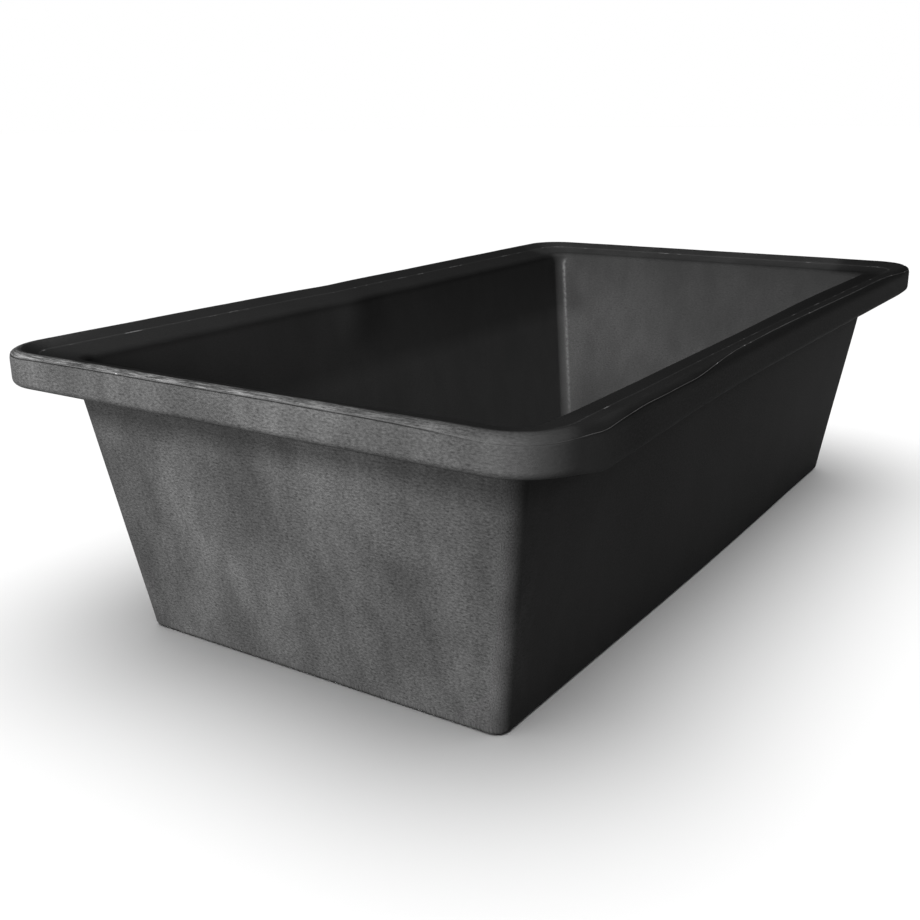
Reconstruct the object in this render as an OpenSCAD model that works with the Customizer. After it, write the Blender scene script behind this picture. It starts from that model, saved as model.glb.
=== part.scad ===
// Rectangular mortar mixing tub: one thin-walled moulding with a hollow ledge rim.
// X runs along the tub, Y across it and Z up; the origin is the centre of the underside.

/* [Tub] */
// Overall length over the rim
tub_l = 1250; // [900:10:1400]
// Overall width over the rim
tub_w = 700; // [600:10:800]
// Overall height
tub_h = 342; // [280:1:400]
// How far the walls lean in from the rim's underside to the floor
draft = 44; // [30:1:50]
// Thickness of the walls
wall_t = 8; // [6:1:10]
// Thickness of the floor
floor_t = 9; // [8:1:12]

/* [Rim] */
// Height of the rim's outer face, from its underside to its crest
rim_h = 40; // [36:1:46]
// How far the rim stands out past the wall below it
overhang = 61; // [56:1:70]
// Thickness of the hollow rim's skin
rim_skin = 6; // [4:1:6]
// How far the long sides draw in at the middle of the rim
side_bow = 6; // [0:1:12]
// How far they stand out at the middle of the floor
side_bulge = 4; // [0:1:6]
// Height of the flash bead along the mould's parting line
flash_h = 0.6; // [0.4:0.1:1]

/* [Corners] */
// Radius of the rim's outer corners, seen from above
rim_corner_r = 64; // [50:1:80]
// Radius of the body's outer corners, seen from above
body_corner_r = 18; // [14:1:24]
// Radius of the corners inside the tub, seen from above
inner_corner_r = 16; // [12:1:20]
// Radius of the floor's outer edge
floor_edge_r = 7; // [4:1:7]
// Radius of the rim's lower outer edge
rim_edge_r = 8; // [5:1:10]

/* [Hidden] */

half_l = tub_l / 2;
half_w = tub_w / 2;
wall_top = tub_h - rim_h;       // the rim's underside
arc_steps = 8;                  // facets on half of a corner, up to its diagonal
edge_steps = 4;                 // facets on each small rounded edge
side_steps = 16;                // facets along a bowed long side
shade = [0.11, 0.11, 0.115];
flash_shade = [0.2, 0.2, 0.2];

// A profile point is [inset, height, corner radius]: how far it lies inside the rim's outer
// face, its height above the underside, and its corner's radius seen from above. Each one
// draws a line of [x, y, z] points round the tub, and a node is skinned between its lines.

// Inset of the body's outer face and of the tub's inner face, at a height
function outer_inset(z) = overhang + draft * (wall_top - z) / wall_top;
function inner_inset(z) = outer_inset(z) + wall_t;

// The rim's corners share one centre until they would become sharper than the inside corners
function rim_r(inset) = max(rim_corner_r - inset, inner_corner_r);

// How far a long side draws in, at a place along it and a height; below 0 it stands out
function bow(x, z) =
    let (reach = half_l - rim_corner_r, level = z / tub_h)
    abs(x) < reach
        ? (side_bow * level - side_bulge * (1 - level)) * pow(cos(90 * x / reach), 2)
        : 0;

// A stretch of one corner, in the quadrant that sx and sy name; 0 degrees faces along X
function corner_arc(p, sx, sy, from, to) =
    let (cx = half_l - p[0] - p[2], cy = half_w - p[0] - p[2])
    [for (i = [0 : arc_steps]) let (t = from + (to - from) * i / arc_steps)
        [sx * (cx + p[2] * cos(t)), sy * (cy + p[2] * sin(t)), p[1]]];

// The rear end's straight stretch, and the left side's, which bows
function end_straight(p) =
    [for (s = [-1, 1]) [half_l - p[0], s * (half_w - p[0] - p[2]), p[1]]];
function side_straight(p) =
    let (reach = half_l - p[0] - p[2])
    [for (i = [0 : side_steps]) let (x = reach * (1 - 2 * i / side_steps))
        [x, half_w - p[0] - bow(x, p[1]), p[1]]];

// All but a list's first entry, and all but its first and last
function tail(list) = [for (i = [1 : len(list) - 1]) list[i]];
function middle(list) = [for (i = [1 : len(list) - 2]) list[i]];

// The whole rear end, left side or rear left corner; the first two run from diagonal to diagonal
function end_line(p) = concat(corner_arc(p, 1, -1, 45, 0), corner_arc(p, 1, 1, 0, 45));
function side_line(p) =
    concat(corner_arc(p, 1, 1, 45, 90), middle(side_straight(p)), corner_arc(p, -1, 1, 90, 45));
function corner_line(p) =
    concat(corner_arc(p, 1, 1, 0, 45), tail(corner_arc(p, 1, 1, 45, 90)));

// Points of a round edge between two angles, as [inset, height or depth]
function edge_arc(inset, z, r, from, to) =
    [for (i = [0 : edge_steps]) let (t = from + (to - from) * i / edge_steps)
        [inset + r * cos(t), z + r * sin(t)]];

// A solid with one line per profile point, and flat ends
module drawn(lines) {
    n = len(lines);
    m = len(lines[0]);
    sides = [for (i = [0 : m - 2]) for (k = [0 : n - 1])
        let (a = i * n + k, b = i * n + (k + 1) % n)
        each [[a, b, b + n], [a, b + n, a + n]]];
    polyhedron([for (i = [0 : m - 1]) for (line = lines) line[i]],
        concat(sides,
            [[for (k = [n - 1 : -1 : 0]) k]],
            [[for (k = [0 : n - 1]) (m - 1) * n + k]]),
        convexity = 6);
}

// A tube drawn the same way: the inner lines follow the outer ones, point for point
module drawn_tube(outer, inner) {
    n = len(outer);
    m = len(outer[0]);
    hollow = m * n;
    last = (m - 1) * n;
    skins = [for (i = [0 : m - 2]) for (k = [0 : n - 1])
        let (a = i * n + k, b = i * n + (k + 1) % n, c = b + n, d = a + n)
        each [[a, b, c], [a, c, d],
              [hollow + a, hollow + c, hollow + b], [hollow + a, hollow + d, hollow + c]]];
    ends = [for (k = [0 : n - 1]) let (a = k, b = (k + 1) % n)
        each [[a, hollow + b, b], [a, hollow + a, hollow + b],
              [last + a, last + b, hollow + last + b],
              [last + a, hollow + last + b, hollow + last + a]]];
    polyhedron([for (lines = [outer, inner]) for (i = [0 : m - 1]) for (line = lines) line[i]],
        concat(skins, ends), convexity = 6);
}

// The flat bottom that the walls stand on, with its rounded outer edge
module floor_pan() color(shade) {
    edge_inset = outer_inset(floor_edge_r);
    levels = concat(
        [for (p = edge_arc(edge_inset + floor_edge_r, floor_edge_r, floor_edge_r, 270, 180))
            [p[0], p[1], body_corner_r - (p[0] - edge_inset)]],
        [[outer_inset(floor_t), floor_t, body_corner_r]]);
    loops = [for (p = levels)
        let (half = concat(end_line(p), middle(side_line(p))))
        concat(half, [for (q = half) [-q[0], -q[1], q[2]]])];
    n = len(loops[0]);
    m = len(loops);
    skin = [for (i = [0 : m - 2]) for (k = [0 : n - 1])
        let (a = i * n + k, b = i * n + (k + 1) % n)
        each [[a, a + n, b + n], [a, b + n, b]]];
    polyhedron([for (loop = loops) each loop],
        concat(skin,
            [[for (k = [0 : n - 1]) k]],
            [[for (k = [n - 1 : -1 : 0]) (m - 1) * n + k]]),
        convexity = 2);
}

// The walls' outline: up the outer face and down the inner one
wall_outline = [
    [outer_inset(floor_t), floor_t, body_corner_r],
    [outer_inset(wall_top), wall_top, body_corner_r],
    [inner_inset(wall_top), wall_top, inner_corner_r],
    [inner_inset(floor_t), floor_t, inner_corner_r]];

module end_wall() color(shade) drawn([for (p = wall_outline) end_straight(p)]);
module side_wall() color(shade) drawn([for (p = wall_outline) side_straight(p)]);
module corner() color(shade) drawn([for (p = wall_outline) corner_line(p)]);

module end_wall_rear() end_wall();
module end_wall_front() rotate([0, 0, 180]) end_wall();
module side_wall_left() side_wall();
module side_wall_right() rotate([0, 0, 180]) side_wall();
module corner_rear_left() corner();
module corner_rear_right() mirror([0, 1, 0]) corner();
module corner_front_left() mirror([1, 0, 0]) corner();
module corner_front_right() rotate([0, 0, 180]) corner();

// The rim's section as [inset, depth below the crest]. It starts inside the tub, climbs the
// round shoulder, crosses the sloping land to the raised lip, and goes down the outer face.
// The lip and the crease at its foot keep their size; the land takes up a wider overhang.
mouth = inner_inset(tub_h - 22);    // where the inner face would meet the shoulder's top
shoulder = [[inner_inset(tub_h - 30), 30], [mouth, 22],
            [mouth - 1.5, 17.6], [mouth - 4.5, 15], [mouth - 9.5, 13.4]];
land = [[mouth - 22, 10.6], [33, 8], [24, 4.6], [17, 1.8]];
seam_top = [2.9, 3];
seam_bottom = [1.9, 4.2];
lip = [[10, 0], [5.6, 1], seam_top, seam_bottom, [0.6, 6.6], [0, 10]];
low_edge = edge_arc(rim_edge_r, rim_h - rim_edge_r, rim_edge_r, 180, 90);
rim_section = concat([[inner_inset(wall_top), rim_h]], shoulder, land, lip, low_edge);

// A section's points as profile points
function profile(section) = [for (p = section) [p[0], tub_h - p[1], rim_r(p[0])]];

// Each point of a closed section moved inwards by a distance, square to its neighbours
function inside(section, d) =
    let (n = len(section))
    [for (i = [0 : n - 1])
        let (u = section[i] - section[(i + n - 1) % n], v = section[(i + 1) % n] - section[i],
             nu = [u[1], -u[0]] / norm(u), nv = [v[1], -v[0]] / norm(v))
        section[i] + (nu + nv) * d / (1 + nu * nv)];

module rim_end() color(shade) drawn_tube(
    [for (p = profile(rim_section)) end_line(p)],
    [for (p = profile(inside(rim_section, rim_skin))) end_line(p)]);
module rim_side() color(shade) drawn_tube(
    [for (p = profile(rim_section)) side_line(p)],
    [for (p = profile(inside(rim_section, rim_skin))) side_line(p)]);

module rim_rear() rim_end();
module rim_front() rotate([0, 0, 180]) rim_end();
module rim_left() rim_side();
module rim_right() rotate([0, 0, 180]) rim_side();

// The thin flash bead that stands on the lip's outer curve, all the way round
module parting_line() color(flash_shade) {
    along = seam_bottom - seam_top;
    apex = (seam_top + seam_bottom) / 2 - flash_h * [along[1], -along[0]] / norm(along);
    bead = profile([seam_top, apex, seam_bottom]);
    for (turn = [0, 180]) rotate([0, 0, turn]) {
        drawn([for (p = bead) end_line(p)]);
        drawn([for (p = bead) side_line(p)]);
    }
}

floor_pan();
end_wall_front();
end_wall_rear();
side_wall_left();
side_wall_right();
corner_front_left();
corner_front_right();
corner_rear_left();
corner_rear_right();
rim_front();
rim_rear();
rim_left();
rim_right();
parting_line();
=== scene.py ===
import math

import bpy
import numpy as np
from mathutils import Matrix, Vector, noise


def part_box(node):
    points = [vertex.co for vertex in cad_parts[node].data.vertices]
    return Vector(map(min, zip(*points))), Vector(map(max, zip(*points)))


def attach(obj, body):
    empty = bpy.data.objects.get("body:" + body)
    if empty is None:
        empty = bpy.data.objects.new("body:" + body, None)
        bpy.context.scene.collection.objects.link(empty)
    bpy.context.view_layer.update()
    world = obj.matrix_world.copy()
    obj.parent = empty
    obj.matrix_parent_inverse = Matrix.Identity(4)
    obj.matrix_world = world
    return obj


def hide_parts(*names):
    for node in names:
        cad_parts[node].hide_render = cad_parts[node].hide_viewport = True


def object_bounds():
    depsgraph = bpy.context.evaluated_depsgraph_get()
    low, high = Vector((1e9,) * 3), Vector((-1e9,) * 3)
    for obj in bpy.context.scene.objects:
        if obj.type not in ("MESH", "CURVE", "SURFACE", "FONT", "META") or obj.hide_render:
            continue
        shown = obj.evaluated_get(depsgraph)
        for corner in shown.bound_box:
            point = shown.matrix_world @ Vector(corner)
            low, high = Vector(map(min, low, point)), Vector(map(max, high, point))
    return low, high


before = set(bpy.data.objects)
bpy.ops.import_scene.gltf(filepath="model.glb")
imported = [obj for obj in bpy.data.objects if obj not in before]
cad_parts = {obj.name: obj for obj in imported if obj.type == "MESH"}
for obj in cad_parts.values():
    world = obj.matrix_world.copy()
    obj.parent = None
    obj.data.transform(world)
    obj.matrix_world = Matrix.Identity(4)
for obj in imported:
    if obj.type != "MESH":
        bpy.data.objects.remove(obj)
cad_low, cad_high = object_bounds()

# A mortar mixing tub: one moulded black polyethylene shell with a hollow ledge rim. The shell is
# drawn as one surface, with rows of points up its section and stations round the tub. That
# surface is then cut into the CAD's pieces, which keep its normals, so that no joint shows.
# Everything is in metres. An inset is a distance inside the rim's outer face, seen from above.

MM = 0.001

# ---------------------------------------------------------------- sizes, from the CAD frame
HALF_L, HALF_W, CREST = cad_high
RIM_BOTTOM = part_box("rim_front")[0].z
FLOOR_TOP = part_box("floor_pan")[1].z
FOOT_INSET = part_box("floor_pan")[0].x + HALF_L
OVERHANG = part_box("end_wall_front")[0].x + HALF_L
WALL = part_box("end_wall_front")[1].x + HALF_L - FOOT_INSET
WALL_LEAN = (FOOT_INSET - OVERHANG) / (RIM_BOTTOM - FLOOR_TOP)

# ---------------------------------------------------------------- sizes of the surface's detail
RIM_CORNER_R = 64 * MM        # plan radius of the rim's outer corners
BODY_CORNER_R = 18 * MM       # and of the body's outer corners
SHOULDER_CORNER_R = 30 * MM   # and of the rim's inner edge
INNER_CORNER_R = 16 * MM      # and of the corners inside the tub
INNER_FLARE = 32 * MM         # which open out to the rim's edge over this depth below the crest
FOOT_R = 7 * MM               # fillets of the section
UNDER_RIM_R = 5 * MM
RIM_EDGE_R = 8 * MM
CREASE_R = 3 * MM
SHOULDER_R = 9 * MM
FLOOR_FILLET_R = 12 * MM
SPARE = 0.5 * MM              # room left inside the CAD's box for relief
LIP_SLOPE = math.radians(20)  # the rim's top falls to a crease, then less steeply to the shoulder
LAND_SLOPE = math.radians(13)
CREASE_INSET, CREASE_DROP = 32 * MM, 7.9 * MM
CREASE_RIDGE = 0.3 * MM       # the height of the fine ridge along the crease,
CREASE_RIDGE_W = 0.7 * MM     # and its half width

END_STEPS, SIDE_STEPS, CORNER_STEPS = 48, 96, 16    # stations along each stretch of the tub
ARC_STEPS = 20                # points round each fillet of the outline
NORMAL_STEP = 0.2 * MM        # the distance over which the outline's direction is taken


def smooth(value, low, high):
    """0 below low, 1 above high, with a smooth rise between them."""
    t = np.clip((value - low) / (high - low), 0, 1)
    return t * t * (3 - 2 * t)


def hump(value, middle, width):
    """1 at the middle, falling away on both sides as a bell."""
    return np.exp(-(((value - middle) / width) ** 2))


def noise_at(points, scale, shift=0.0):
    """Smooth noise from about -1 to 1 at each of an array of points. scale is in waves a metre."""
    flat = points.reshape(-1, 3) * scale + shift
    return np.array([noise.noise(Vector(p)) for p in flat]).reshape(points.shape[:-1])


# ---------------------------------------------------------------- the section
def outer_inset(z):
    """The inset of the walls' outer face at a height."""
    return OVERHANG + WALL_LEAN * (RIM_BOTTOM - z)


def inner_inset(z):
    """The inset of the walls' inner face at a height."""
    return outer_inset(z) + WALL


def filleted(corners):
    """Points of a line whose corners, (inset, z, radius), are rounded, and each arc's ends along it."""
    points, arcs = [np.array(corners[0][:2])], []
    for before, corner, after in zip(corners, corners[1:], corners[2:]):
        here = np.array(corner[:2])
        back = np.array(before[:2]) - here
        ahead = np.array(after[:2]) - here
        back, ahead = back / np.linalg.norm(back), ahead / np.linalg.norm(ahead)
        half = math.acos(np.clip(back @ ahead, -1, 1)) / 2
        middle = here + (back + ahead) / np.linalg.norm(back + ahead) * corner[2] / math.sin(half)
        first = here + back * corner[2] / math.tan(half)
        last = here + ahead * corner[2] / math.tan(half)
        turn = np.linspace(0, 1, ARC_STEPS)[:, None]
        sweep = math.pi - 2 * half
        arc = np.sin((1 - turn) * sweep) * (first - middle) + np.sin(turn * sweep) * (last - middle)
        arcs.append((len(points), len(points) + ARC_STEPS - 1))
        points += list(middle + arc / math.sin(sweep))
    points = np.array(points + [np.array(corners[-1][:2])])
    along = np.concatenate([[0], np.cumsum(np.linalg.norm(np.diff(points, axis=0), axis=1))])
    return points, along, [(along[a], along[b]) for a, b in arcs]


crease_z = CREST - CREASE_DROP
lip_z = crease_z + CREASE_INSET * math.tan(LIP_SLOPE)
LIP_R = (lip_z - CREST + SPARE) / (math.tan(LIP_SLOPE) + 1 / math.cos(LIP_SLOPE) - 1)
land_zero = crease_z + CREASE_INSET * math.tan(LAND_SLOPE)
shoulder_inset = inner_inset(land_zero) / (1 - WALL_LEAN * math.tan(LAND_SLOPE))
shoulder_z = land_zero - shoulder_inset * math.tan(LAND_SLOPE)

outline, outline_s, arcs = filleted([
    (outer_inset(0) + 2 * FOOT_R, 0),
    (outer_inset(0), 0, FOOT_R),
    (OVERHANG, RIM_BOTTOM, UNDER_RIM_R),
    (SPARE, RIM_BOTTOM, RIM_EDGE_R),
    (SPARE, lip_z, LIP_R),
    (CREASE_INSET, crease_z, CREASE_R),
    (shoulder_inset, shoulder_z, SHOULDER_R),
    (inner_inset(FLOOR_TOP), FLOOR_TOP, FLOOR_FILLET_R),
    (inner_inset(FLOOR_TOP) + 2 * FLOOR_FILLET_R, FLOOR_TOP)])
foot, under_rim, rim_edge, lip, crease, shoulder, floor_fillet = arcs
crease_s = sum(crease) / 2


def outline_at(s):
    return np.interp(s, outline_s, outline[:, 0]), np.interp(s, outline_s, outline[:, 1])


def outline_normal(s):
    """The outline's outward direction, as (inset, z)."""
    (a0, z0), (a1, z1) = outline_at(s - NORMAL_STEP), outline_at(s + NORMAL_STEP)
    length = np.hypot(a1 - a0, z1 - z0)
    return (z0 - z1) / length, (a1 - a0) / length


def corner_radius(s):
    """The plan radius of the tub's corners at a distance along the outline."""
    inset, z = outline_at(s)
    body = BODY_CORNER_R - np.clip(inset - outer_inset(FOOT_R), 0, FOOT_R)
    ledge = np.maximum(RIM_CORNER_R - inset, BODY_CORNER_R)
    top = np.maximum(RIM_CORNER_R - inset, SHOULDER_CORNER_R)
    opening = smooth(z, CREST - INNER_FLARE, shoulder_z)
    inner = INNER_CORNER_R + (SHOULDER_CORNER_R - INNER_CORNER_R) * opening
    inner = inner - np.clip(inset - inner_inset(z), 0, FLOOR_FILLET_R) / 2
    radius = np.where(s < under_rim[0], body, ledge)
    radius = np.where(s > lip[0], top, radius)
    return np.where(s > shoulder[0], np.minimum(inner, top), radius)


# The distances along the outline where the surface is cut into pieces
outer_part, inner_part = outline_s <= under_rim[0], outline_s >= shoulder[1]
wall_foot_s = np.interp(FLOOR_TOP, outline[outer_part, 1], outline_s[outer_part])
wall_head_s = under_rim[0]
head_z = outline_at(wall_head_s)[1]
inner_head_s = np.interp(-head_z, -outline[inner_part, 1], outline_s[inner_part])

# The mould's parting line wanders along the lip, with close rows of points on both sides of it
SEAM_CLUSTER = np.array([-5, -2.6, -1.7, -1.1, -0.7, -0.3, 0, 0.4, 1.1, 2.6, 5]) * MM
CREASE_CLUSTER = np.array([-5, -2.4, -1.2, -0.5, 0, 0.5, 1.2, 2.4, 5]) * MM
FILLET_ROWS, NOOK_ROWS, WALL_ROWS = 8, 6, 30        # rows of points up each part of the section
LEDGE_ROWS, FACE_ROWS, LIP_ROWS, LAND_ROWS, MOUTH_ROWS = 8, 2, 7, 6, 4
low_lip = rim_edge[1] + 6 * MM
high_lip = crease_s + CREASE_CLUSTER[0] - 1.5 * MM
land_start = crease_s + 7 * MM


def stretch(low, high, count):
    """Evenly spaced distances from low up to, but not with, high."""
    return low + (high - low) * np.arange(count) / count


rows_below = np.concatenate([
    stretch(*foot, FILLET_ROWS), [foot[1]],
    stretch(wall_foot_s, wall_head_s, WALL_ROWS), stretch(*under_rim, NOOK_ROWS),
    stretch(under_rim[1], rim_edge[0], LEDGE_ROWS), stretch(*rim_edge, FILLET_ROWS),
    stretch(rim_edge[1], low_lip, FACE_ROWS)])
rows_above = np.concatenate([
    crease_s + CREASE_CLUSTER, stretch(land_start, shoulder[0], LAND_ROWS),
    stretch(*shoulder, FILLET_ROWS), stretch(shoulder[1], inner_head_s, MOUTH_ROWS),
    stretch(inner_head_s, floor_fillet[0], WALL_ROWS), stretch(*floor_fillet, FILLET_ROWS),
    [floor_fillet[1]]])


# ---------------------------------------------------------------- stations round the tub
END, CORNER, SIDE = 0, 1, 2


def stations(end_steps, side_steps, corner_steps):
    """Each station's kind, its two signs, and its place from 0 to 1 along its stretch.

    The kinds are END, CORNER and SIDE. The signs say which end, corner or side it is on.
    """
    kinds = []
    for sx, sy in ((1, 1), (-1, 1), (-1, -1), (1, -1)):
        turns_on = sx * sy > 0
        end = [(END, sx, sx, t) for t in np.arange(end_steps) / end_steps]
        side = [(SIDE, sy, -sy, t) for t in np.arange(side_steps) / side_steps]
        arc = [t if turns_on else 1 - t for t in np.arange(corner_steps) / corner_steps]
        corner = [(CORNER, sx, sy, t) for t in arc]
        kinds += (end if turns_on else side) + corner
    return np.array(kinds)


def placed(inset, z, radius, round_tub):
    """The points of the tub at insets, heights and plan radii, each an array of stations by rows."""
    kind, one, two, t = (round_tub[:, k, None] for k in range(4))
    centre_x, centre_y = HALF_L - inset - radius, HALF_W - inset - radius
    run = 2 * t - 1
    turn = t * math.pi / 2
    kinds = [kind == END, kind == CORNER]
    corner_x = one * (centre_x + radius * np.cos(turn))
    corner_y = two * (centre_y + radius * np.sin(turn))
    x = np.select(kinds, [one * (HALF_L - inset), corner_x], two * run * centre_x)
    y = np.select(kinds, [two * run * centre_y, corner_y], one * (HALF_W - inset))
    return np.stack([x, y, z + 0 * x], axis=-1)


# ------------------------------------------------ how the real moulding departs from the design
LEFT_BOW, RIGHT_BOW = 8 * MM, 3 * MM    # the long sides draw in at mid-length at the rim
FLOOR_BULGE = 4 * MM          # and stand out at the floor
RIM_PULL = 60 * MM            # the ledge's own departures die out over this depth below it
KINK, KINK_X, KINK_LENGTH = 4 * MM, -0.07, 0.045    # a dent in the left side's rim

# The right side's ledge hangs a little all along, more towards the front, and most just past the
# front corner, where its lower edge hangs further still. Each has its depth, middle and length.
SAG = 2.4 * MM
FRONT_SAG, FRONT_SAG_X, FRONT_SAG_LENGTH = 2.6 * MM, -0.42, 0.2
NOTCH_SAG, NOTCH_X, NOTCH_LENGTH = 4.0 * MM, -0.525, 0.04
EDGE_SAG, EDGE_SAG_X, EDGE_SAG_LENGTH = 5 * MM, -0.49, 0.12
EDGE_SAG_Z = (RIM_BOTTOM + 4 * MM, CREST - 12 * MM)
SAG_ENDS = (12 * MM, 110 * MM)          # from no sag to all of it, from each end of the tub
SAG_ACROSS = (HALF_W - OVERHANG - 110 * MM, HALF_W - OVERHANG - 10 * MM)
SAG_AT_WALL = 0.55            # the share of it at the wall, where the ledge is held

# The front ledge's inner edge stands up near its right end, and the right ledge's in its rear half
FRONT_LIFT, FRONT_LIFT_Y, FRONT_LIFT_LENGTH = 2.8 * MM, -0.25, 0.1
FRONT_LIFT_RISE, FRONT_LIFT_FALL = (22 * MM, OVERHANG), (110 * MM, 160 * MM)
REAR_LIFT = 5 * MM
REAR_LIFT_RISE, REAR_LIFT_FALL = (-0.1, 0.3), (HALF_L - 0.11, HALF_L - 0.05)
REAR_LIFT_IN = (HALF_W - 120 * MM, HALF_W - 75 * MM)
REAR_LIFT_OUT = (HALF_W - OVERHANG, HALF_W - 30 * MM)

SWELLS = ((0.45, 5, 0), (0.2, 13, 7.3), (0.05, 40, 3.1))    # mm high, waves a metre, shift
SWELL_OFFSET, SWELL_LIMIT = 0.25, 0.2   # mm, which keep the waves inside the CAD's box
SWELL_FADE = 30 * MM          # the height over which they grow from nothing at the foot


def warped(points):
    """The points of the ideal shape, moved as the cooling moulding pulled them."""
    x, y, z = points[..., 0].copy(), points[..., 1].copy(), points[..., 2].copy()
    reach = HALF_L - RIM_CORNER_R
    arch = np.where(abs(x) < reach, np.cos(x / reach * math.pi / 2) ** 2, 0)
    level = z / CREST
    side = np.clip(y / (HALF_W - outer_inset(0)), -1, 1)
    y -= side * arch * (np.where(y > 0, LEFT_BOW, RIGHT_BOW) * level - FLOOR_BULGE * (1 - level))
    high = smooth(z, RIM_BOTTOM - RIM_PULL, RIM_BOTTOM)
    y -= KINK * hump(x, KINK_X, KINK_LENGTH) * high * smooth(y, 0, HALF_W - OVERHANG)

    from_front, from_rear, to_right = x + HALF_L, HALF_L - x, -y
    ends = smooth(from_front, *SAG_ENDS) * smooth(from_rear, *SAG_ENDS)
    held = SAG_AT_WALL + (1 - SAG_AT_WALL) * smooth(to_right, HALF_W - OVERHANG, HALF_W)
    sag = (SAG + FRONT_SAG * hump(x, FRONT_SAG_X, FRONT_SAG_LENGTH)
           + NOTCH_SAG * hump(x, NOTCH_X, NOTCH_LENGTH)
           + EDGE_SAG * hump(x, EDGE_SAG_X, EDGE_SAG_LENGTH) * (1 - smooth(z, *EDGE_SAG_Z)))
    z -= sag * ends * smooth(to_right, *SAG_ACROSS) * held * high

    inner_edge = smooth(from_front, *FRONT_LIFT_RISE) * (1 - smooth(from_front, *FRONT_LIFT_FALL))
    z += FRONT_LIFT * inner_edge * hump(y, FRONT_LIFT_Y, FRONT_LIFT_LENGTH) * high
    inner_edge = smooth(to_right, *REAR_LIFT_IN) * (1 - smooth(to_right, *REAR_LIFT_OUT))
    rear_half = smooth(x, *REAR_LIFT_RISE) * (1 - smooth(x, *REAR_LIFT_FALL))
    z += REAR_LIFT * inner_edge * rear_half * high
    return np.stack([x, y, z], axis=-1)


def summed_noise(points, layers):
    """The sum of layers of noise, each one's height, scale and shift given."""
    return sum(height * noise_at(points, scale, shift) for height, scale, shift in layers)


def waves(points):
    """The soft unevenness of a moulded skin, mostly inwards."""
    fade = smooth(points[..., 2], 0, SWELL_FADE)
    return MM * fade * np.minimum(summed_noise(points, SWELLS) - SWELL_OFFSET, SWELL_LIMIT)


# The parting line's usual distance along the lip from the face, how much further up it lies along
# the right side, and how far it comes down round the front right corner
SEAM_HEIGHT, SEAM_RISE, SEAM_FALL = 6.3 * MM, 7.0 * MM, 4.8 * MM
SEAM_RIGHT = (HALF_W - 40 * MM, HALF_W - 10 * MM)
SEAM_CLIMB, SEAM_RETURN = (-0.34, -0.18), (0.4, 0.56)       # along x, on the right side
SEAM_FALL_X, SEAM_FALL_Y, SEAM_FALL_LENGTH = 20 * MM - HALF_L, 40 * MM - HALF_W, 0.09
SEAM_WANDER = ((0.9, 6, 1.7), (0.45, 21, 5.2))      # mm high, waves a metre, shift
SEAM_STEP, SEAM_GROOVE, SEAM_RIDGE = 0.35, 0.5, 0.18        # mm
GROOVE_LEVEL, GROOVE_CHANGE = 0.65, 0.55            # the groove's depth comes and goes


def rim_line(round_tub):
    """The points round the rim's top outer edge."""
    level = (np.full((len(round_tub), 1), v) for v in (SPARE, CREST, RIM_CORNER_R))
    return placed(*level, round_tub)[:, 0]


def seam_line(round_tub):
    """Where the parting line lies along the outline, at each station."""
    rim = rim_line(round_tub)
    x, y = rim[:, 0], rim[:, 1]
    rise = smooth(-y, *SEAM_RIGHT) * smooth(x, *SEAM_CLIMB) * (1 - smooth(x, *SEAM_RETURN))
    fall = hump(np.hypot(x - SEAM_FALL_X, y - SEAM_FALL_Y), 0, SEAM_FALL_LENGTH)
    wander = summed_noise(rim, SEAM_WANDER) * MM
    return lip[0] + SEAM_HEIGHT + SEAM_RISE * rise - SEAM_FALL * fall + wander


def seam_relief(from_seam, points):
    """The step, groove and small ridge that the parting line leaves in the skin."""
    d = from_seam / MM
    strength = GROOVE_LEVEL + GROOVE_CHANGE * noise_at(points, scale=17, shift=9.4)
    step = SEAM_STEP * smooth(d, low=-0.2, high=0.4) * (1 - smooth(d, low=1, high=5))
    groove = -SEAM_GROOVE * hump(d, middle=-0.75, width=0.4) * strength
    ridge = SEAM_RIDGE * hump(d, middle=-1.8, width=0.6)
    return MM * (step + groove + ridge)


def surface(s, round_tub, proud=0.0):
    """The moulding's finished points at distances along the outline, for each station by row."""
    inset, z = outline_at(s)
    radius = corner_radius(s)
    ideal = placed(inset, z, radius, round_tub)
    normal_inset, normal_z = outline_normal(s)
    crease_ridge = CREASE_RIDGE * hump(s, crease_s, CREASE_RIDGE_W)
    from_seam = s - seam_line(round_tub)[:, None]
    lift = waves(ideal) + seam_relief(from_seam, ideal) + crease_ridge + proud
    inwards = normal_inset * lift
    return warped(placed(inset + inwards, z + normal_z * lift, radius - inwards, round_tub))


def round_length(round_tub):
    """How far round the rim each station lies, with the whole way round as one more value."""
    rim = rim_line(round_tub)
    steps = np.linalg.norm(np.roll(rim, -1, axis=0) - rim, axis=1)
    return np.concatenate([[0], np.cumsum(steps)])


around = stations(END_STEPS, SIDE_STEPS, CORNER_STEPS)
seam = seam_line(around)
lip_steps = np.arange(LIP_ROWS) / LIP_ROWS
rows = np.concatenate([
    np.tile(rows_below, (len(around), 1)),
    low_lip + (seam + SEAM_CLUSTER[0] - low_lip)[:, None] * lip_steps,
    seam[:, None] + SEAM_CLUSTER,
    high_lip + (seam + SEAM_CLUSTER[-1] - high_lip)[:, None] * lip_steps[::-1],
    np.tile(rows_above, (len(around), 1))], axis=1)
shell = surface(rows, around)


# ---------------------------------------------------------------- the floor's two faces
UNDERSIDE_HOLLOW, FLOOR_SWELL = 1.5 * MM, 1.0 * MM


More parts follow.
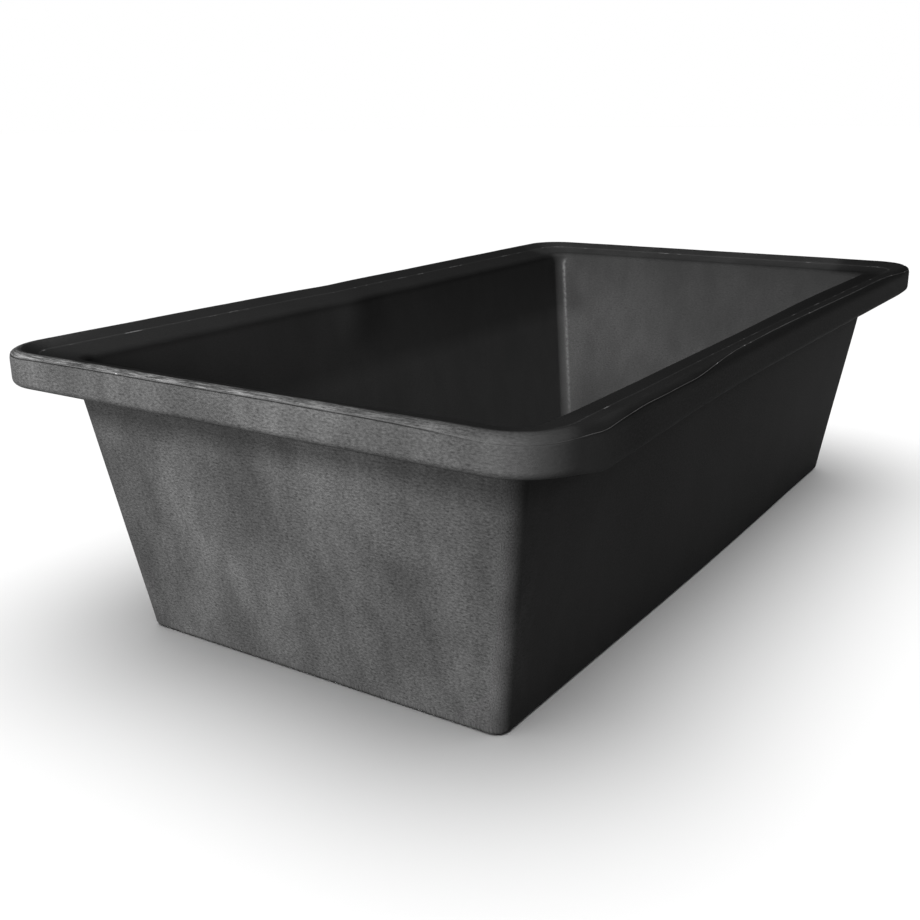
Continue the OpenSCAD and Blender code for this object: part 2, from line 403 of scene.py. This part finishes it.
def patch(ring, first, long_steps, short_steps, relief):
    """A grid of points that fills a ring of them, and each one's number in the ring, or -1 inside it."""
    count = len(ring)
    number = np.full((long_steps + 1, short_steps + 1), -1)
    u, v = np.arange(long_steps + 1), np.arange(short_steps + 1)
    number[:, 0], number[:, -1] = (first + u) % count, (first - short_steps - u) % count
    number[0, :], number[-1, :] = (first - v) % count, (first + long_steps + v) % count
    near, far = ring[number[:, 0]], ring[number[:, -1]]
    left, right = ring[number[0]], ring[number[-1]]
    fu = ((near[:, 0] - near[0, 0]) / (near[-1, 0] - near[0, 0]))[:, None, None]
    fv = ((left[:, 1] - left[0, 1]) / (left[-1, 1] - left[0, 1]))[None, :, None]
    corners = ((1 - fu) * (1 - fv) * near[0] + fu * (1 - fv) * near[-1]
               + (1 - fu) * fv * far[0] + fu * fv * far[-1])
    grid = (1 - fv) * near[:, None] + fv * far[:, None] + (1 - fu) * left[None] + fu * right[None] - corners
    inside = (np.sin(fu * math.pi) * np.sin(fv * math.pi))[..., 0] ** 0.5
    inside[[0, -1]] = 0
    inside[:, [0, -1]] = 0
    grid[..., 2] += relief * inside * (1 + 0.5 * noise_at(grid, scale=6, shift=4.4))
    return grid, number


count, row_count = shell.shape[:2]
first_diagonal = END_STEPS + CORNER_STEPS // 2
long_steps, short_steps = SIDE_STEPS + CORNER_STEPS, END_STEPS + CORNER_STEPS
underside, under_number = patch(shell[:, 0], first_diagonal, long_steps, short_steps, UNDERSIDE_HOLLOW)
floor_top, top_number = patch(shell[:, -1], first_diagonal, long_steps, short_steps, FLOOR_SWELL)


def grid_index(number, row, next_index):
    """Each grid point's number among all points: on its edge the shell's, and new ones inside it."""
    index = number * row_count + row
    new = number < 0
    index[new] = next_index + np.arange(new.sum())
    return index, new


under_index, under_new = grid_index(under_number, 0, count * row_count)
top_index, top_new = grid_index(top_number, row_count - 1, count * row_count + under_new.sum())
points = np.concatenate([shell.reshape(-1, 3), underside[under_new], floor_top[top_new]])
up_section = np.concatenate([
    rows.ravel(), np.zeros(under_new.sum()), np.full(top_new.sum(), floor_fillet[1])])


def quads(index):
    """The faces of a grid of point numbers."""
    corners = [index[:-1, :-1], index[1:, :-1], index[1:, 1:], index[:-1, 1:]]
    return np.stack(corners, axis=-1).reshape(-1, 4)


shell_index = np.arange(count * row_count).reshape(count, row_count)
skin = np.concatenate([
    quads(np.concatenate([shell_index, shell_index[:1]])),
    quads(under_index),
    quads(top_index)[:, ::-1]])


def point_normals(points, faces):
    """Each point's normal, from the faces round it, the larger ones counting for more."""
    diagonal_a = points[faces[:, 2]] - points[faces[:, 0]]
    diagonal_b = points[faces[:, 3]] - points[faces[:, 1]]
    face_normals = np.cross(diagonal_a, diagonal_b)
    normals = np.zeros_like(points)
    for corner in range(4):
        np.add.at(normals, faces[:, corner], face_normals)
    return normals / np.linalg.norm(normals, axis=1)[:, None]


normals = point_normals(points, skin)


# ---------------------------------------------------------------- pieces
tub = bpy.data.collections.new("tub")        # the lights for the tub and for the floor are separate
stage = bpy.data.collections.new("stage")


def add_piece(name, points, faces, normals, values, material):
    """A mesh object that stands for the CAD node of its name. The values are named point attributes."""
    mesh = bpy.data.meshes.new(name)
    mesh.from_pydata(points.tolist(), [], faces)
    mesh.shade_smooth()
    for key, value in values.items():
        data = mesh.attributes.new(key, "FLOAT", "POINT").data
        data.foreach_set("value", np.asarray(value, np.float32).ravel())
    if normals is not None:
        mesh.normals_split_custom_set_from_vertices(normals.tolist())
    mesh.materials.append(material)
    piece = bpy.data.objects.new(name + "_skin", mesh)
    bpy.context.scene.collection.objects.link(piece)
    tub.objects.link(piece)
    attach(piece, "root")
    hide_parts(name)


def ring_faces(stations_count, row_count, closed):
    """The faces of a tube whose points lie station by station, closed into a ring or with flat ends."""
    index = np.arange(stations_count * row_count).reshape(stations_count, row_count)
    index = np.concatenate([index, index[:, :1]], axis=1)
    if closed:
        index = np.concatenate([index, index[:1]])
    faces = quads(index).tolist()
    if not closed:
        faces += [index[0, :-1].tolist(), index[-1, :-1][::-1].tolist()]
    return faces


lengths = round_length(around)
CORNER_STREAK_AT, CORNER_STREAK_WIDTH = 0.16, 0.11      # of the way round each corner
CORNER_STREAK_FADE = 12 * MM    # the depth over which the streak of dust and painted highlight begins below the shoulder


def add_stretch(name, first, last, row_runs, material):
    """The part of the shell from one station to another, and the rows of each run, as a closed piece."""
    numbers = np.arange(first, last + 1)
    picked = np.concatenate([np.arange(low, high + 1) for low, high in row_runs])
    index = (numbers[:, None] % count) * row_count + picked
    along = lengths[numbers % count] + lengths[-1] * (numbers // count)
    across = rows[numbers % count][:, picked]
    kind, turn = around[numbers % count, 0], around[numbers % count, 3]
    dust_and_highlight = np.where(kind == CORNER, hump(turn, CORNER_STREAK_AT, CORNER_STREAK_WIDTH), 0)[:, None]
    inside = smooth(across, shoulder[1], shoulder[1] + CORNER_STREAK_FADE)
    values = {"grain_u": np.tile(along[:, None], (1, len(picked))), "grain_v": across,
              "section": across, "in_corner": dust_and_highlight * inside,
              "from_seam": across - seam[numbers % count][:, None]}
    flat = index.ravel()
    faces = ring_faces(len(numbers), len(picked), closed=False)
    add_piece(name, points[flat], faces, normals[flat], values, material)


FAR_BELOW_SEAM = -1.0         # stands for the floor's distance from the parting line


def add_floor(name, foot_row, material):
    """The floor, from the tub's foot to its underside and its upper face."""
    foot_index = np.concatenate([shell_index, shell_index[:1]])[:, :foot_row + 1]
    ledge = np.stack([shell_index[:, foot_row], shell_index[:, -1]], axis=1)
    faces = np.concatenate([quads(foot_index), quads(np.concatenate([ledge, ledge[:1]])),
                            quads(under_index), quads(top_index)[:, ::-1]])
    used, local = np.unique(faces, return_inverse=True)
    mine = points[used]
    values = {"grain_u": mine[:, 0], "grain_v": mine[:, 1], "section": up_section[used],
              "in_corner": np.zeros(len(used)), "from_seam": np.full(len(used), FAR_BELOW_SEAM)}
    faces = local.reshape(-1, 4).tolist()
    add_piece(name, mine, faces, normals[used], values, material)


def row_of(distance):
    """The number of the row nearest to a distance along the outline."""
    return int(np.argmin(abs(rows[0] - distance)))


# ---------------------------------------------------------------- materials
def node(tree, kind, inputs=(), **settings):
    """A shader node, its settings, and its inputs as (name or number, value or socket) pairs."""
    made = tree.nodes.new("ShaderNode" + kind)
    for key, value in settings.items():
        setattr(made, key, value)
    for key, value in inputs:
        if isinstance(value, bpy.types.NodeSocket):
            tree.links.new(value, made.inputs[key])
        else:
            made.inputs[key].default_value = value
    return made


def maths(tree, operation, *values):
    return node(tree, "Math", enumerate(values), operation=operation).outputs[0]


def spread(tree, value, low, high, to_low, to_high):
    """value, taken from the range low..high to to_low..to_high and held there."""
    inputs = enumerate((value, low, high, to_low, to_high))
    return node(tree, "MapRange", inputs).outputs[0]


def noise_of(tree, place, scale, detail=3.0, roughness=0.55, distortion=0.0):
    inputs = (("Vector", place), ("Scale", scale), ("Detail", detail), ("Roughness", roughness),
              ("Distortion", distortion))
    return node(tree, "TexNoise", inputs).outputs[0]


def scaled(tree, place, scale, turn=(0, 0, 0)):
    """place, turned and scaled on each axis."""
    return node(tree, "Mapping", (("Vector", place), ("Rotation", turn), ("Scale", scale))).outputs[0]


def attribute(tree, name):
    return node(tree, "Attribute", attribute_name=name).outputs["Fac"]


def grey(tree, value):
    return node(tree, "CombineColor", enumerate((value, value, value))).outputs[0]


def new_material(name, shown_colour):
    material = bpy.data.materials.new(name)
    material.use_nodes = True
    material.diffuse_color = (*shown_colour, 1)
    tree = material.node_tree
    tree.nodes.clear()
    output = node(tree, "OutputMaterial")
    shader = node(tree, "BsdfPrincipled")
    tree.links.new(shader.outputs[0], output.inputs[0])
    return material, tree, shader


def product(tree, *values):
    """The product of any number of values or sockets."""
    result = values[0]
    for value in values[1:]:
        result = maths(tree, "MULTIPLY", result, value)
    return result


def band(tree, value, low, high, soft):
    """1 between low and high, with soft edges, and 0 outside."""
    rise = spread(tree, value, low - soft, low, 0, 1)
    fall = spread(tree, value, high, high + soft, 1, 0)
    return product(tree, rise, fall)


def rising(tree, value, low, high):
    """0 below low and 1 above high."""
    return spread(tree, value, low, high, 0, 1)


def falling(tree, value, low, high):
    """1 below low and 0 above high."""
    return spread(tree, value, low, high, 1, 0)


# The middle value of the plastic's base colour, and what multiplies it at each place
PLASTIC_TONE = 0.0125
LEDGE_SHADE_TONE = 0.42         # painted shade at the walls' head outside and under the ledge
TOP_SHADE_TONE = (0.5, 0.7)    # painted shade on top of the ledge, darker in the right half than at the left side
INNER_FOOT_LIGHT_TONE = 2.6              # painted light, growing towards the foot of the walls inside
NOOK_SHADE_TONE = 0.5               # painted shade in the angle under the ledge
REAR_LAND_LIGHT_TONE = 1.4          # painted light on top of the rear ledge
REAR_INSIDE_SHADE_TONE = (0.93, 0.6)          # everywhere else, and painted shade on the right half of the rear inside
LEFT_LOW_LIGHT_TONE = (1.15, 1.6)   # everywhere else, and painted light low on the left inside
RIGHT_SIDE_SHADE_TONE = (1.1, 0.5)  # painted light and shade on the right side: lighter at its foot, darker at its head
UNDER_EDGE_SHADE_TONE = 0.55        # painted shade round the right ledge's lower edge
GROOVE_SHADE_TONE = 0.25            # painted shade in the groove under the front end's parting line

# What is added to it at most
CORNER_DUST_AND_HIGHLIGHT, RUBBED_TONE, WHITENED_TONE, TORN_TONE = 0.05, 0.04, 0.06, 0.12

# The share of the blotches that shows: behind the front wall, at the front wall's right edge, and
# at the least, which is more on the rear wall
BLOTCHES_BEHIND, BLOTCHES_RIGHT_EDGE, BLOTCHES_LEAST = 0.25, 0.2, (0.22, 0.5)

SKIN_ROUGHNESS, SKIN_SPECULAR = (0.62, 0.8), 0.03
BUMP_STRENGTH, BUMP_DEPTH = 0.8, 0.35 * MM
MOTTLE_BUMP, PITS_BUMP = 0.7, 0.3       # the shares of the two in it

PATCH_TILT = 0.75             # radians

# The masks' edges, as pairs of a start and an end: along x or y, or up the section
FRONT_WALL_X = (FOOT_INSET - HALF_L, FOOT_INSET + 0.05 - HALF_L)
REAR_WALL_X = (HALF_L - 0.12, HALF_L - 0.09)
FRONT_RIM_X = (0.03 - HALF_L, 0.06 - HALF_L)
RIGHT_EDGE_Y = (-0.335, -0.27)
FRONT_RIM_Y = (-0.3, -0.2)
REAR_RIGHT_Y = (-0.26, 0.1)
LEFT_WALL_Y = (0.19, 0.24)
RIGHT_WALL_Y = (-0.24, -0.22)
RIGHT_WALL_X = (-0.57, -0.47)
STREAKS_Y, STREAKS_RIGHT = (-0.2, 0.0), 0.35
STREAKS_ELSEWHERE = 0.08      # the share of the streaks past the front end
LEDGE_SHADE_START = (under_rim[0] - 54 * MM, under_rim[0] - 28 * MM)
LEDGE_SHADE_END = (rim_edge[0] + 2 * MM, rim_edge[1])
LEFT_LOW_S = (shoulder[1] + 0.085, shoulder[1] + 0.115)


def black_polyethylene():
    """Mottled black moulded plastic: cloudy patches, a fine stretched grain, scuffs on the rim, and painted
    shade and light in places.
    """
    material, tree, shader = new_material("black_polyethylene", (0.03, 0.03, 0.03))
    across, from_seam = attribute(tree, "section"), attribute(tree, "from_seam")
    from_crease = maths(tree, "SUBTRACT", across, crease_s)
    grain = (("X", attribute(tree, "grain_u")), ("Y", attribute(tree, "grain_v")))
    grain_place = node(tree, "CombineXYZ", grain).outputs[0]
    place = node(tree, "TexCoord").outputs["Object"]
    where = node(tree, "SeparateXYZ", (("Vector", place),))
    x, y = where.outputs["X"], where.outputs["Y"]

    def patches(shape, **settings):
        """Noise in space, tilted and stretched down the walls."""
        return noise_of(tree, scaled(tree, place, shape, (PATCH_TILT, 0, 0)), **settings)

    def streaked(stretched, **settings):
        """Noise on the skin, stretched round the tub."""
        return noise_of(tree, scaled(tree, grain_place, (1, stretched, 1)), **settings)

    clouds = patches((1, 1, 0.55), scale=7, detail=2, roughness=0.45, distortion=0.4)
    smears = patches((1, 1, 0.5), scale=30, detail=4, roughness=0.6)
    mottle = streaked(2, scale=240, detail=3, roughness=0.65)
    dashes = streaked(4.5, scale=125, detail=2, roughness=0.5)
    pits = streaked(1.6, scale=620, detail=2, roughness=0.5)
    # Each pattern's range, and the multiples of the tone at the two ends of it
    layers = []
    for pattern, low, high, darkest, palest in (
            (clouds, 0.3, 0.7, 0.72, 1.28),
            (mottle, 0.28, 0.72, 0.44, 1.56),
            (dashes, 0.3, 0.42, 0.55, 1),
            (smears, 0.36, 0.64, 0.82, 1.18)):
        layers.append(spread(tree, pattern, low, high, darkest, palest))
    blotches = product(tree, *layers)

    # The blotches show in full on the outside of the front end, and less elsewhere
    rear = rising(tree, x, *REAR_WALL_X)
    worn = product(tree, falling(tree, across, lip[1], crease_s),
                   spread(tree, x, *FRONT_WALL_X, 1, BLOTCHES_BEHIND),
                   spread(tree, y, *RIGHT_EDGE_Y, BLOTCHES_RIGHT_EDGE, 1))
    worn = maths(tree, "MAXIMUM", worn, spread(tree, rear, 0, 1, *BLOTCHES_LEAST))
    blotches = maths(tree, "MULTIPLY_ADD", maths(tree, "SUBTRACT", blotches, 1), worn, 1)
    tone = product(tree, blotches, PLASTIC_TONE)

    # painted shade under the ledge and on the walls' head outside, where the ledge overhangs
    ledge_shade = product(tree, rising(tree, across, *LEDGE_SHADE_START), falling(tree, across, *LEDGE_SHADE_END))
    # painted shade on the ledge's top, except at the rear end
    top_shade = product(tree, band(tree, across, lip[1], shoulder[1], 6 * MM),
                       maths(tree, "SUBTRACT", 1, rear))
    top_shade_tone = spread(tree, y, 0, HALF_W - OVERHANG, *TOP_SHADE_TONE)
    # painted light, lighter down the walls inside towards the floor
    inner_foot_light = rising(tree, across, shoulder[1], floor_fillet[0])
    # painted shade in the angle under the ledge
    nook_shade = band(tree, across, under_rim[0] - 5 * MM, under_rim[1] + 4 * MM, 9 * MM)
    # painted light on top of the rear ledge
    rear_land_light = product(tree, rear, band(tree, across, crease_s, shoulder[0] - 5 * MM, 5 * MM))
    # painted shade on the rear wall inside, towards its right half
    rear_inside_shade = product(tree, rear, rising(tree, across, crease_s, shoulder[0]),
                          falling(tree, y, *REAR_RIGHT_Y))
    # painted light low on the left wall inside
    left_low_light = product(tree, rising(tree, across, *LEFT_LOW_S), rising(tree, y, *LEFT_WALL_Y))
    # painted light and shade on the right side, darkening from its foot up to its head
    right_side_shade = product(tree, falling(tree, y, *RIGHT_WALL_Y), rising(tree, x, *RIGHT_WALL_X),
                         falling(tree, across, *shoulder))
    # painted shade round the right ledge's lower edge
    under_edge_shade = band(tree, across, rim_edge[0] - 2 * MM, rim_edge[0] + 6 * MM, 4 * MM)
    right_side_shade_level = product(tree, spread(tree, across, foot[1], rim_edge[0], *RIGHT_SIDE_SHADE_TONE),
                      spread(tree, under_edge_shade, 0, 1, 1, UNDER_EDGE_SHADE_TONE))
    for mask, tone_off, tone_on in (
            (ledge_shade, 1, LEDGE_SHADE_TONE), (top_shade, 1, top_shade_tone), (inner_foot_light, 1, INNER_FOOT_LIGHT_TONE),
            (nook_shade, 1, NOOK_SHADE_TONE), (rear_land_light, 1, REAR_LAND_LIGHT_TONE), (rear_inside_shade, *REAR_INSIDE_SHADE_TONE),
            (left_low_light, *LEFT_LOW_LIGHT_TONE), (right_side_shade, 1, right_side_shade_level)):
        tone = product(tree, tone, spread(tree, mask, 0, 1, tone_off, tone_on))
    drift = streaked(3, scale=55, detail=3, roughness=0.6)
    # dust and a painted highlight down the corners inside
    dust_and_highlight = product(tree, attribute(tree, "in_corner"), spread(tree, drift, 0.35, 0.6, 0.2, 1))
    tone = maths(tree, "MULTIPLY_ADD", dust_and_highlight, CORNER_DUST_AND_HIGHLIGHT, tone)

    # The front end's rim has painted shade in the groove under the seam, and long rubbed streaks above it
    front = product(tree, falling(tree, x, *FRONT_RIM_X), rising(tree, y, *FRONT_RIM_Y))
    groove = product(tree, front, band(tree, from_seam, -1.3 * MM, -0.4 * MM, 0.35 * MM))
    tone = product(tree, tone, spread(tree, groove, 0, 1, 1, GROOVE_SHADE_TONE))
    streaks = streaked(14, scale=32, detail=3, roughness=0.65)
    rubbed = product(tree, rising(tree, streaks, 0.46, 0.62),
                     band(tree, from_seam, 1.2 * MM, 12 * MM, 1.2 * MM),
                     spread(tree, front, 0, 1, STREAKS_ELSEWHERE, 1),
                     spread(tree, y, *STREAKS_Y, STREAKS_RIGHT, 1))
    chips = streaked(2.5, scale=45, detail=3, roughness=0.6)
    whitened = product(tree, spread(tree, chips, 0.55, 0.66, 0.1, 1),
                       band(tree, from_crease, -0.6 * MM, 0.6 * MM, 0.9 * MM))
    tone = maths(tree, "MULTIPLY_ADD", rubbed, RUBBED_TONE, tone)
    tone = maths(tree, "MULTIPLY_ADD", whitened, WHITENED_TONE, tone)
    tree.links.new(grey(tree, tone), shader.inputs["Base Color"])
    tree.links.new(spread(tree, mottle, 0.3, 0.7, *SKIN_ROUGHNESS), shader.inputs["Roughness"])
    shader.inputs["Specular IOR Level"].default_value = SKIN_SPECULAR

    height = maths(tree, "ADD", product(tree, mottle, MOTTLE_BUMP), product(tree, pits, PITS_BUMP))
    bump = node(tree, "Bump", (("Strength", BUMP_STRENGTH), ("Distance", BUMP_DEPTH), ("Height", height)))
    tree.links.new(bump.outputs[0], shader.inputs["Normal"])
    return material


FLASH_RIGHT_Y = (0.03 - HALF_W, 0.07 - HALF_W)      # where the flash turns pale, on the right side
FLASH_RIGHT_X = (0.028 - HALF_L, 0.06 - HALF_L)
FRAYED_TONE = 3.6
FLASH_ROUGHNESS, FLASH_SPECULAR = 0.7, 0.1


def trimmed_flash():
    """The parting line's flash: black, paler along the right side, and whitened where it was torn."""
    material, tree, shader = new_material("trimmed_flash", (0.04, 0.04, 0.04))
    place = node(tree, "TexCoord").outputs["Object"]
    where = node(tree, "SeparateXYZ", (("Vector", place),))
    uneven = spread(tree, noise_of(tree, place, scale=55, detail=3), 0.3, 0.7, 0.6, 1.8)
    on_right = product(tree, falling(tree, where.outputs["Y"], *FLASH_RIGHT_Y),
                       rising(tree, where.outputs["X"], *FLASH_RIGHT_X))
    frayed = spread(tree, on_right, 0, 1, 1, FRAYED_TONE)
    tone = product(tree, uneven, frayed, PLASTIC_TONE)
    tone = maths(tree, "MULTIPLY_ADD", attribute(tree, "torn"), TORN_TONE, tone)
    tree.links.new(grey(tree, tone), shader.inputs["Base Color"])
    shader.inputs["Roughness"].default_value = FLASH_ROUGHNESS
    shader.inputs["Specular IOR Level"].default_value = FLASH_SPECULAR
    return material


plastic = black_polyethylene()
flash = trimmed_flash()

foot_row, head_row = row_of(wall_foot_s), row_of(wall_head_s)
inner_head_row, last_row = row_of(inner_head_s), row_count - 1
WALL_RUNS = [(foot_row, head_row), (inner_head_row, last_row)]
RIM_RUNS = [(head_row, inner_head_row)]

add_floor("floor_pan", foot_row, plastic)
station = 0
for name, steps in (("end_wall_rear", END_STEPS), ("corner_rear_left", CORNER_STEPS),
                    ("side_wall_left", SIDE_STEPS), ("corner_front_left", CORNER_STEPS),
                    ("end_wall_front", END_STEPS), ("corner_front_right", CORNER_STEPS),
                    ("side_wall_right", SIDE_STEPS), ("corner_rear_right", CORNER_STEPS)):
    add_stretch(name, station, station + steps, WALL_RUNS, plastic)
    station += steps
station = first_diagonal
for name, steps in (("rim_left", long_steps), ("rim_front", short_steps),
                    ("rim_right", long_steps), ("rim_rear", short_steps)):
    add_stretch(name, station, station + steps, RIM_RUNS, plastic)
    station += steps


BEAD_STEP = 2.2 * MM          # the spacing of the flash's stations round the tub
BEAD_OFFSETS = np.array([-0.4, -0.15, 0.1, 0.35, 0.6]) * MM     # across the parting line
BEAD_SHAPE = np.array([-1.2, 0.6, 1.0, 0.7, -1.2])  # its height there: 1 is the top, below 0 is sunk in
BEAD_SUNK = 0.25              # mm, for each -1 of the shape
BEAD_HEIGHT, BEAD_UNEVEN, TORN_HEIGHT = 0.12, 0.1, 0.3      # mm


def parting_line():
    """The thin bead of flash along the parting line, taller and torn in places."""
    steps = [round(side / BEAD_STEP) for side in (2 * HALF_W, 2 * HALF_L, RIM_CORNER_R * math.pi / 2)]
    fine = stations(*steps)
    line = seam_line(fine)[:, None]
    middle = surface(line, fine)[:, 0]
    torn = smooth(noise_at(middle, scale=120, shift=2.2), low=0.62, high=0.68)
    tall = BEAD_HEIGHT + BEAD_UNEVEN * noise_at(middle, scale=30, shift=8.1) + TORN_HEIGHT * torn
    proud = np.where(BEAD_SHAPE > 0, BEAD_SHAPE * tall[:, None], BEAD_SHAPE * BEAD_SUNK) * MM
    bead = surface(line + BEAD_OFFSETS, fine, proud)
    faces = ring_faces(len(fine), len(BEAD_OFFSETS), closed=True)
    values = {"torn": np.repeat(torn, len(BEAD_OFFSETS))}
    add_piece("parting_line", bead.reshape(-1, 3), faces, None, values, flash)


parting_line()

# ---------------------------------------------------------------- floor, light and camera
PALE = (0.8, 0.8, 0.8)
bpy.ops.mesh.primitive_circle_add(vertices=96, radius=40, fill_type="NGON")
ground = bpy.context.object
ground.name = "ground"
ground_material, _, ground_shader = new_material("pale_ground", PALE)
ground_shader.inputs["Base Color"].default_value = (*PALE, 1)
ground_shader.inputs["Roughness"].default_value = 0.9
ground_shader.inputs["Specular IOR Level"].default_value = 0.1
ground.data.materials.append(ground_material)
stage.objects.link(ground)


def add_light(name, kind, azimuth, height, distance, size, strength, lit, aim):
    """A soft light on one collection. Azimuth 0 is in front of the tub, and 90 is on its left side."""
    data = bpy.data.lights.new(name, kind)
    data.energy = strength
    if kind == "AREA":
        data.shape = "DISK"
        data.size = size
    else:
        data.angle = size
    turn, rise = math.radians(azimuth), math.radians(height)
    level = math.cos(rise)
    towards = Vector((-math.cos(turn) * level, math.sin(turn) * level, math.sin(rise)))
    light = bpy.data.objects.new(name, data)
    light.location = Vector(aim) + towards * distance
    light.rotation_euler = (-towards).to_track_quat("-Z", "Y").to_euler()
    light.visible_camera = False
    light.light_linking.receiver_collection = lit
    bpy.context.scene.collection.objects.link(light)


MIDDLE, LOW_MIDDLE, FOOT_MIDDLE = (0, 0, 0.2), (0, 0, 0.14), (0, 0, 0)
for name, azimuth, height, distance, size, strength, aim in (
        ("key", 6, 13, 2.6, 0.8, 280, MIDDLE),
        ("near_fill", 18, 19, 0.6, 0.2, 11, (-0.6, 0.03, 0.2)),
        ("right_fill", -25, 20, 2.6, 1.2, 24, MIDDLE),
        ("side_fill", -90, 50, 1.5, 1.0, 6, (-0.5, -0.3, 0.2)),
        ("left_fill", 115, 0, 2.6, 0.26, 80, LOW_MIDDLE),
        ("rear_fill", 180, 0, 2.6, 0.26, 120, LOW_MIDDLE),
        ("top_fill", 0, 90, 2, 1.0, 14, FOOT_MIDDLE)):
    add_light(name, "AREA", azimuth, height, distance, size, strength, tub, aim)
add_light("floor_light", "SUN", 0, 90, 3, math.radians(70), 3.7, stage, MIDDLE)

WORLD_SEEN, WORLD_LIGHT = 1.0, 0.15    # the white surroundings, as the camera sees them and as light

world = bpy.data.worlds.new("studio")
world.use_nodes = True
background = world.node_tree.nodes["Background"]
background.inputs[0].default_value = (1, 1, 1, 1)
seen = node(world.node_tree, "LightPath").outputs["Is Camera Ray"]
world_strength = maths(world.node_tree, "MULTIPLY_ADD", seen, WORLD_SEEN - WORLD_LIGHT, WORLD_LIGHT)
world.node_tree.links.new(world_strength, background.inputs[1])
bpy.context.scene.world = world
bpy.context.scene.view_settings.view_transform = "Standard"

CAMERA_PLACE = (-1.3502, -0.7428, 0.5818)
CAMERA_YAW, CAMERA_PITCH, CAMERA_ROLL = 0.5805, 0.2983, -0.0074    # radians, the pitch downwards
CAMERA_LENS = 44.22           # mm


def add_camera():
    level = math.cos(CAMERA_PITCH)
    look = Vector((math.cos(CAMERA_YAW) * level, math.sin(CAMERA_YAW) * level, -math.sin(CAMERA_PITCH)))
    right = look.cross(Vector((0, 0, 1))).normalized()
    up = right.cross(look)
    axes = Matrix((right, up, -look)).transposed().to_4x4()
    data = bpy.data.cameras.new("camera")
    data.lens = CAMERA_LENS
    camera = bpy.data.objects.new("camera", data)
    camera.matrix_world = Matrix.Translation(CAMERA_PLACE) @ axes @ Matrix.Rotation(CAMERA_ROLL, 4, "Z")
    bpy.context.scene.collection.objects.link(camera)
    bpy.context.scene.camera = camera


add_camera()
